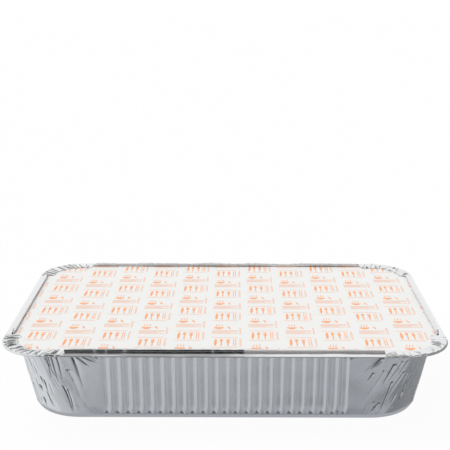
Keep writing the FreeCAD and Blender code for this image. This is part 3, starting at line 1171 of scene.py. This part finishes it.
WALL_FOIL = RolledFoil("dull_side_foil", "#E1E5E9", 0.23, line_depth=0.003 * MM,
                       dent_depth=0.003 * MM)
RIM_FOIL = RolledFoil("bright_side_foil", "#E9EAEB", 0.15, line_depth=0.003 * MM,
                      dent_depth=0.015 * MM)
BOARD = CoatedBoard()
STRONG_INK = PressedInk("orange_ink", "#FFA565", "#FFB987")
PALE_INK = PressedInk("pale_orange_ink", "#FABE9E", "#FACDB4")


class Motif(Enum):
    """The two printed motifs."""

    SPRIGS = "sprigs"
    BOWL = "bowl"


@dataclass
class LidPrint:
    """The pattern printed on the lid: sprigs and steaming bowls over bands of fine lines."""

    sizes: FoilSizes
    top: float
    pitch: float = 27 * MM
    ink: float = 0.05 * MM
    overlap: float = 0.003 * MM
    edge: float = 2.3 * MM
    band_length: float = 19 * MM
    line_width: float = 0.9 * MM
    line_spacing: float = 1.9 * MM
    sprig_height: float = 14 * MM
    sprig_spacing: float = 4.8 * MM
    bowl_width: float = 7.6 * MM
    bowl_height: float = 3.6 * MM

    def blade(self, length: float, width: float, place: tuple[float, float], turn: float,
              layer: int = 0) -> bpy.types.Object:
        """A leaf blade of ink.

        Args:
            length: From stalk to tip.
            width: Across its middle.
            place: The stalk's end.
            turn: Degrees that the tip leans to the left of +Y.
            layer: How many strokes of the same motif it crosses over.

        Returns:
            The blade, flat on the lid.
        """
        select_nothing()
        bpy.ops.mesh.primitive_circle_add(vertices=10, radius=0.5, fill_type="NGON")
        piece = bpy.context.object
        middle = (0, 0, 0)
        with editing(piece):
            bpy.ops.transform.resize(value=(width, length, 1), center_override=middle)
            bpy.ops.transform.translate(value=(0, length / 2, 0))
            bpy.ops.transform.rotate(value=math.radians(turn), orient_axis="Z", center_override=middle)
            bpy.ops.transform.translate(value=(*place, self.top + layer * self.overlap))
        return piece

    def bar(self, length: float, width: float, place: tuple[float, float]) -> bpy.types.Object:
        """A bar of ink.

        Args:
            length: Along X.
            width: Along Y.
            place: Its middle.

        Returns:
            The bar, flat on the lid.
        """
        select_nothing()
        bpy.ops.mesh.primitive_plane_add(size=1.0)
        piece = bpy.context.object
        with editing(piece):
            bpy.ops.transform.resize(value=(length, width, 1), center_override=(0, 0, 0))
            bpy.ops.transform.translate(value=(*place, self.top))
        return piece

    def sprigs(self) -> bpy.types.Object:
        """A leaf, a bud, an ear of grain and two reeds side by side."""
        height, foot = self.sprig_height, -self.sprig_height / 2
        places = [(i - 1.5) * self.sprig_spacing for i in range(4)]
        parts = [self.blade(height, 2.1 * MM, (places[0] + 0.4 * MM, foot), 2)]
        parts.append(self.bar(0.9 * MM, 0.7 * height, (places[1], foot + 0.35 * height)))
        parts.append(self.blade(0.42 * height, 2.4 * MM, (places[1], foot + 0.56 * height), 0, 1))
        parts.append(self.bar(0.9 * MM, 0.7 * height, (places[2], foot + 0.35 * height)))
        for i, (turn, level) in enumerate(((13, 0.34), (-13, 0.34), (13, 0.64), (-13, 0.64))):
            place = (places[2], foot + level * height)
            parts.append(self.blade(0.34 * height, 1.1 * MM, place, turn, 1 + i))
        for step in (-0.8 * MM, 0.8 * MM):
            parts.append(self.bar(0.6 * MM, 0.95 * height, (places[3] + step, 0)))
        return joined("sprigs", parts)

    def bowl(self) -> bpy.types.Object:
        """A bowl with its foot, three strokes of steam, and a leaf beside it."""
        select_nothing()
        bpy.ops.mesh.primitive_circle_add(vertices=28, radius=0.5, fill_type="NGON")
        piece = bpy.context.object
        middle, rim = -4.5 * MM, 3.6 * MM
        with editing(piece):
            bpy.ops.mesh.bisect(plane_co=(0, 0, 0), plane_no=(0, 1, 0), clear_outer=True)
            bpy.ops.mesh.select_all(action="SELECT")
            bpy.ops.transform.resize(value=(self.bowl_width, 2 * self.bowl_height, 1),
                                     center_override=(0, 0, 0))
            bpy.ops.transform.translate(value=(middle, rim, self.top + self.overlap))
        parts = [piece, self.bar(0.42 * self.bowl_width, 0.8 * MM, (middle, rim - self.bowl_height))]
        for step in (-1, 0, 1):
            x = middle + step * 0.27 * self.bowl_width
            parts.append(self.blade(5.2 * MM, 0.7 * MM, (x, rim + 1.0 * MM), 8))
        parts.append(self.blade(6.0 * MM, 1.5 * MM, (4.0 * MM, rim - self.bowl_height), -20))
        return joined("bowl", parts)

    def lines(self) -> bpy.types.Object:
        """The fine lines under a bowl, each third one shorter, and a row of dashes."""
        parts = []
        for i in range(4):
            length = self.band_length * (0.72 if i == 2 else 1.0)
            y = -3.6 * MM - i * self.line_spacing
            parts.append(self.bar(length, self.line_width, ((length - self.band_length) / 2, y)))
        for i in range(6):
            parts.append(self.bar(1.5 * MM, 1.3 * MM, (11.3 * MM, -9.6 * MM + i * 2.3 * MM)))
        return joined("lines", parts)

    def rules(self) -> bpy.types.Object:
        """The rules over and under the sprigs, and a row of dashes beside them."""
        parts = [self.bar(self.band_length, 0.8 * MM, (0, y)) for y in (-9.4 * MM, 9.4 * MM)]
        for i in range(7):
            parts.append(self.bar(1.5 * MM, 1.3 * MM, (11.3 * MM, -6.9 * MM + i * 2.3 * MM)))
        return joined("rules", parts)

    def places(self) -> Iterator[tuple[Motif, float, float]]:
        """Each motif and its place, every second column dropped by half a pitch."""
        columns = math.ceil(self.sizes.length / 2 / self.pitch)
        rows = math.ceil(self.sizes.width / 2 / self.pitch)
        for i in range(-columns, columns + 1):
            drop = self.pitch / 2 if i % 2 else 0.0
            for j in range(-rows, rows + 1):
                kind = Motif.SPRIGS if (i + j) % 2 else Motif.BOWL
                yield kind, i * self.pitch, j * self.pitch - drop

    def spread(self, name: str, pattern: bpy.types.Object,
               places: Sequence[tuple[float, float]]) -> bpy.types.Object:
        """Copies a pattern to its places, each copy with its own mesh, and joins the copies.

        Args:
            name: The name of the result.
            pattern: The pattern at the origin, which is used up.
            places: Where the copies go.

        Returns:
            The joined copies.
        """
        copies = []
        for x, y in places:
            copy = pattern.copy()
            copy.data = pattern.data.copy()
            copy.data.transform(Matrix.Translation((x, y, 0)))
            bpy.context.collection.objects.link(copy)
            copies.append(copy)
        bpy.data.objects.remove(pattern)
        return joined(name, copies)

    def trim(self, piece: bpy.types.Object) -> None:
        """Cuts a piece along the printed area's four sides and five chords of each corner.

        Args:
            piece: The flat print to cut.
        """
        sizes = self.sizes
        radius = sizes.corner_radius - self.edge
        for corner in range(4):
            middle = (corner + 0.5) * math.pi / 2
            centre = (math.copysign(sizes.length / 2 - sizes.corner_radius, math.cos(middle)),
                      math.copysign(sizes.width / 2 - sizes.corner_radius, math.sin(middle)))
            for share in (0.0, 0.2, 0.4, 0.6, 0.8, 1.0):
                turn = (corner + share) * math.pi / 2
                normal = (math.cos(turn), math.sin(turn), 0.0)
                place = [centre[i] + radius * normal[i] for i in (0, 1)]
                with editing(piece):
                    bpy.ops.mesh.bisect(plane_co=(*place, 0.0), plane_no=normal, clear_outer=True)

    def thicken(self, piece: bpy.types.Object) -> None:
        """Gives a flat print the ink's thickness, upwards."""
        apply_modifier(piece, "SOLIDIFY", thickness=self.ink, offset=1.0)

    def build(self) -> list[bpy.types.Object]:
        """Makes the strong and the pale print, trimmed and thickened."""
        at_sprigs = [(x, y) for motif, x, y in self.places() if motif is Motif.SPRIGS]
        at_bowls = [(x, y) for motif, x, y in self.places() if motif is Motif.BOWL]
        sprigs = self.spread("sprigs", self.sprigs(), at_sprigs)
        bowls = self.spread("bowls", self.bowl(), at_bowls)
        motifs = joined("print_motifs", [sprigs, bowls])
        rules = self.spread("rules", self.rules(), at_sprigs)
        lines = self.spread("lines", self.lines(), at_bowls)
        bands = joined("print_bands", [rules, lines])
        for piece in (motifs, bands):
            self.trim(piece)
            self.thicken(piece)
        return [motifs, bands]


@dataclass(frozen=True)
class PhotoCamera:
    """The camera that took the photograph."""

    place: tuple[float, float, float] = (6 * MM, -755 * MM, 321 * MM)
    pitch: float = 14.85
    yaw: float = -0.48
    roll: float = 0.05
    focal_pixels: float = 1007.0
    sensor: float = 36.0

    def build(self) -> bpy.types.Object:
        """Adds the camera and makes it the scene's."""
        data = bpy.data.cameras.new("photo_camera")
        data.sensor_width = self.sensor
        data.lens = self.focal_pixels / IMAGE_WIDTH * self.sensor
        data.clip_start = 10 * MM
        camera = bpy.data.objects.new("photo_camera", data)
        bpy.context.collection.objects.link(camera)
        camera.location = self.place
        look = Euler((math.radians(90 - self.pitch), 0, -math.radians(self.yaw)), "XYZ")
        tilt = Matrix.Rotation(math.radians(-self.roll), 3, "Z")
        camera.rotation_euler = (look.to_matrix() @ tilt).to_euler()
        bpy.context.scene.camera = camera
        return camera


Place = tuple[float, float, float]
Span = tuple[float, float]


def card_along_x(x: Span, low: Span, high: Span) -> tuple[Place, ...]:
    """The corners of a card whose lower and upper edges run along X.

    Args:
        x: Where the edges start and end.
        low: Y and Z of the lower edge.
        high: Y and Z of the upper edge.

    Returns:
        Four corners in order.
    """
    return (x[0], *low), (x[1], *low), (x[1], *high), (x[0], *high)


def card_along_y(y: Span, low: Span, high: Span) -> tuple[Place, ...]:
    """The corners of a card whose lower and upper edges run along Y.

    Args:
        y: Where the edges start and end.
        low: X and Z of the lower edge.
        high: X and Z of the upper edge.

    Returns:
        Four corners in order.
    """
    (x0, z0), (x1, z1) = low, high
    return (x0, y[0], z0), (x0, y[1], z0), (x1, y[1], z1), (x1, y[0], z1)


@dataclass(frozen=True)
class Card:
    """A studio card that only metal and gloss show."""

    name: str
    grey: str
    corners: tuple[Place, ...]
    strength: float = 1.0

    def build(self) -> bpy.types.Object:
        """Adds the card, glowing in its own grey."""
        select_nothing()
        bpy.ops.mesh.primitive_plane_add(size=1.0)
        card = bpy.context.object
        card.name = self.name
        order = (0, 1, 3, 2)
        for vertex, index in zip(card.data.vertices, order):
            vertex.co = self.corners[index]
        material = bpy.data.materials.new(self.name)
        tree = bare_tree(material)
        glow = add_node(tree, "ShaderNodeEmission",
                        {"Color": srgb(self.grey), "Strength": self.strength})
        add_node(tree, "ShaderNodeOutputMaterial", links={"Surface": glow.outputs[0]})
        card.data.materials.append(material)
        for ray in ("camera", "diffuse", "shadow", "transmission", "volume_scatter"):
            setattr(card, f"visible_{ray}", False)
        return card


@dataclass
class Studio:
    """A white floor and surround, soft light from the left, and cards that the metal mirrors."""

    floor_size: float = 12.0
    floor_white: str = "#F4F4F4"
    surround: float = 1.0
    ambient: float = 0.55
    key_power: float = 1.7
    key_direction: tuple[float, float, float] = (0.55, -0.45, -1.0)
    key_spread: float = 50.0
    seen_white: float = 0.955
    floor_glow: float = 0.6
    floor_sheen: float = 0.95
    sheen_white: str = "#F0F0F0"
    sheen_roughness: float = 0.12
    mirrored_sheen: float = 0.95
    foot_half: tuple[float, float] = (143.5 * MM, 91.5 * MM)
    foot_height: float = 0.02 * MM
    foot_round: float = 36 * MM
    foot_grey: str = "#B6B6BA"
    front: float = -1.5
    left: float = -0.75
    right: float = 0.5
    flag: float = -0.1125
    flag_foot: float = 0.0563
    flag_top: float = 0.105
    flag_end: float = 0.125
    flag_split: float = 0.014
    flag_gap: float = 1.1 * MM

    def background_ray(self, tree: bpy.types.NodeTree) -> bpy.types.NodeSocket:
        """Tells the rays that show the background: camera, glossy and transmission rays.

        Args:
            tree: The node tree to add to.

        Returns:
            A socket that is 1 on those rays and 0 on others.
        """
        rays = add_node(tree, "ShaderNodeLightPath")
        both = add_node(tree, "ShaderNodeMath", {"operation": "MAXIMUM"})
        tree.links.new(rays.outputs["Is Camera Ray"], both.inputs[0])
        tree.links.new(rays.outputs["Is Glossy Ray"], both.inputs[1])
        every = add_node(tree, "ShaderNodeMath", {"operation": "MAXIMUM"})
        tree.links.new(both.outputs[0], every.inputs[0])
        tree.links.new(rays.outputs["Is Transmission Ray"], every.inputs[1])
        return every.outputs[0]

    def build_surround(self) -> None:
        """Makes the world: white where it is seen, and dimmer as light."""
        world = bpy.data.worlds.new("studio_surround")
        tree = bare_tree(world)
        strength = add_node(tree, "ShaderNodeMapRange",
                            {"To Min": self.ambient, "To Max": self.surround},
                            {"Value": self.background_ray(tree)})
        light = add_node(tree, "ShaderNodeBackground", {"Color": (1.0, 1.0, 1.0, 1.0)},
                         {"Strength": strength.outputs[0]})
        add_node(tree, "ShaderNodeOutputWorld", links={"Surface": light.outputs[0]})
        bpy.context.scene.world = world

    def floor_material(self) -> bpy.types.Material:
        """White satin board, mostly seen as plain white so that only a soft shadow shows."""
        material = bpy.data.materials.new("satin_board")
        tree = bare_tree(material)
        paper = add_node(tree, "ShaderNodeBsdfDiffuse", {"Color": srgb(self.floor_white)})
        white = add_node(tree, "ShaderNodeEmission", {"Strength": 1.0})
        share = add_node(tree, "ShaderNodeMath", {"operation": "MULTIPLY"})
        rays = add_node(tree, "ShaderNodeLightPath")
        tree.links.new(rays.outputs["Is Camera Ray"], share.inputs[0])
        share.inputs[1].default_value = self.seen_white
        plain = add_node(tree, "ShaderNodeMixShader", links={"Fac": share.outputs[0]})
        tree.links.new(paper.outputs[0], plain.inputs[1])
        tree.links.new(white.outputs[0], plain.inputs[2])
        glow = add_node(tree, "ShaderNodeEmission", {"Strength": self.floor_glow})
        sheen = add_node(tree, "ShaderNodeBsdfGlossy",
                         {"Roughness": self.sheen_roughness, "Color": srgb(self.sheen_white)})
        satin = add_node(tree, "ShaderNodeMixShader", {"Fac": self.floor_sheen})
        tree.links.new(glow.outputs[0], satin.inputs[1])
        tree.links.new(sheen.outputs[0], satin.inputs[2])
        reflected = add_node(tree, "ShaderNodeMath", {"operation": "MULTIPLY"})
        tree.links.new(rays.outputs["Is Glossy Ray"], reflected.inputs[0])
        reflected.inputs[1].default_value = self.mirrored_sheen
        mixed = add_node(tree, "ShaderNodeMixShader", links={"Fac": reflected.outputs[0]})
        tree.links.new(plain.outputs[0], mixed.inputs[1])
        tree.links.new(satin.outputs[0], mixed.inputs[2])
        add_node(tree, "ShaderNodeOutputMaterial", links={"Surface": mixed.outputs[0]})
        return material

    def build_floor(self) -> bpy.types.Object:
        """Adds the floor under the container."""
        select_nothing()
        bpy.ops.mesh.primitive_plane_add(size=self.floor_size, location=(0, 0, 0))
        floor = bpy.context.object
        floor.name = "floor"
        floor.data.materials.append(self.floor_material())
        return floor

    def build_key(self) -> bpy.types.Object:
        """Adds the soft key light from the left."""
        data = bpy.data.lights.new("key_light", "SUN")
        data.energy = self.key_power
        data.angle = math.radians(self.key_spread)
        lamp = bpy.data.objects.new("key_light", data)
        bpy.context.collection.objects.link(lamp)
        lamp.rotation_euler = Vector(self.key_direction).to_track_quat("-Z", "Y").to_euler()
        lamp.visible_glossy = False
        return lamp

    def build_foot_card(self) -> None:
        """Adds the pale sheet under the container's foot that its bevel shows."""
        (x, y), z = self.foot_half, self.foot_height
        card = Card("foot_card", self.foot_grey, card_along_x((-x, x), (-y, z), (y, z))).build()
        with editing(card):
            bpy.ops.mesh.bevel(offset=self.foot_round, segments=12, affect="VERTICES")

    def front_cards(self) -> list[Card]:
        """The cards before the container, that its front wall shows by way of the floor."""
        front, left, right, low, tall = self.front, self.left, self.right, 0.35, 1.3
        cards = [Card("front_low_card", "#555453",
                      card_along_x((left, right), (front, 0.0), (front, low)))]
        for name, grey, span in (("front_left_card", "#DADBDE", (left, -0.24)),
                                 ("front_card", "#C9CACD", (-0.24, 0.1)),
                                 ("front_right_card", "#BEBFC3", (0.1, right))):
            cards.append(Card(name, grey, card_along_x(span, (front, low), (front, tall))))
        cards.append(Card("high_card", "#202020",
                          card_along_x((-0.7, 1.5), (front, tall), (-0.7, 2.6))))
        return cards

    def side_cards(self) -> list[Card]:
        """The cards on the right, that the right corner shows."""
        front, right, bend, back = self.front, self.right, -0.4, 0.7
        return [
            Card("side_front_card", "#C8C8CA", card_along_y((front, bend), (right, 0.0), (right, 0.9))),
            Card("side_low_card", "#A0A0A0", card_along_y((bend, back), (right, 0.0), (right, 0.33))),
            Card("side_card", "#8E8E90", card_along_y((bend, back), (right, 0.33), (right, 1.3))),
            Card("side_high_card", "#262626", card_along_y((-0.7, 1.1), (1.3, 0.8), (1.0, 2.6))),
        ]

    def flags(self) -> list[Card]:
        """The narrow cards close before the front bead, dark on the left and pale on the right."""
        flag, split, foot, top = self.flag, self.flag_split, self.flag_foot, self.flag_top
        cuts = (-self.flag_end, -0.0905, -0.0825, -0.0695, -0.0075, split)
        cards = []
        for i, (start, stop) in enumerate(zip(cuts, cuts[1:])):
            stop -= self.flag_gap if stop < split else 0.0
            cards.append(Card(f"black_flag_{i}", "#060505",
                              card_along_x((start, stop), (flag, foot), (flag, top))))
        right = (split, self.flag_end)
        cards.append(Card("grey_flag", "#DAD4D0", card_along_x(right, (flag, foot), (flag, top))))
        cards.append(Card("flag_line", "#5A5653",
                          card_along_x(right, (flag + MM, 0.0581), (flag + MM, 0.0615))))
        return cards

    def build(self) -> None:
        """Builds the floor, the surround, the light and the cards."""
        bpy.context.scene.view_settings.view_transform = "Standard"
        self.build_floor()
        self.build_surround()
        self.build_key()
        rear_high = Card("rear_high_card", "#B0B0B0",
                         card_along_x((0.03, -1.3), (1.3, 0.95), (0.9, 2.6)))
        rear_bead = Card("rear_bead_card", "#ECE8E4",
                         card_along_x((-0.12, 0.12), (0.0985, 0.0615), (0.094, 0.078)))
        for card in (*self.front_cards(), *self.side_cards(), rear_high, *self.flags(), rear_bead):
            card.build()
        self.build_foot_card()
        Card("left_card", "#FFFFFF", ((-0.76, self.front, 0.1), (-1.5, -0.7, 0.1), (-1.5, -0.7, 2.6),
                                      (-0.76, self.front, 2.6)), 0.76).build()


def finish_piece(piece: bpy.types.Object, finish: Finish, slot: str, *nodes: str) -> None:
    """Dresses a new piece, ties it to the frame and reports it.

    Args:
        piece: The finished mesh.
        finish: Its finish.
        slot: Not used.
        nodes: The frame's nodes that it stands for.
    """
    finish.dress(piece)
    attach(piece, BODY)
    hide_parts(*nodes)
    triangles = sum(len(face.vertices) - 2 for face in piece.data.polygons)
    log.info("%s: %d triangles, %s", piece.name, triangles, finish.name)


def main() -> None:
    """Builds the container, its print, the studio and the camera."""
    logging.basicConfig(level=logging.INFO, format="%(name)s: %(message)s")
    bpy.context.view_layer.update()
    sizes = FoilSizes.from_frame()
    PhotoCamera().build()
    Studio().build()
    for piece in FoilPan(sizes).build():
        finish_piece(piece, WALL_FOIL, "foil", "foil_tray")
    finish_piece(FoilRim(sizes).build(), RIM_FOIL, "foil", "foil_tray")
    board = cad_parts["board_lid"]
    BOARD.dress(board)
    log.info("board_lid: from the frame, %s", BOARD.name)
    motifs, bands = LidPrint(sizes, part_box("board_lid")[1][2]).build()
    finish_piece(motifs, STRONG_INK, "strong_ink", "lid_print_motifs")
    finish_piece(bands, PALE_INK, "pale_ink", "lid_print_bands")


if __name__ == "__main__":
    main()
